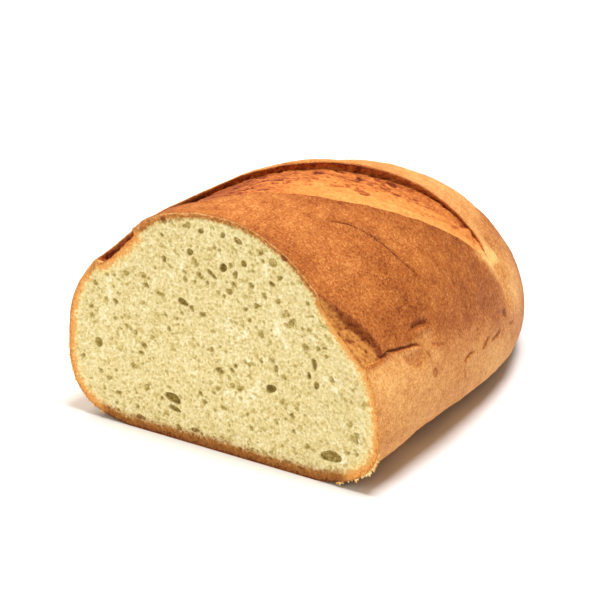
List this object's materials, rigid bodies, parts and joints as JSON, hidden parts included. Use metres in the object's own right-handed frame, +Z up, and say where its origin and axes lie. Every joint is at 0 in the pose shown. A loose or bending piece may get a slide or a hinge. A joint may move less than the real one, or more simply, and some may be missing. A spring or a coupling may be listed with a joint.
{
  "type": "half white baton loaf",
  "caption": "Half of an oval white wheat loaf, cut straight across, with a browned crust slashed at a slant and a pale, finely holed crumb at the cut.",
  "frame": {"origin": "middle of the loaf's box, on the underside that it rests on", "axes": "+Z up, -Y out of the cut, +Y towards the rounded end, +X to the right when looking at the cut"},
  "size_m": [0.1178, 0.1489, 0.0792],
  "materials": {
    "crust": "baked wheat crust, matt to faintly satin, golden brown; the cut shows pale yellowish crumb"
  },
  "bodies": {
    "root": {"loaf": "crust"}
  },
  "joints": []
}
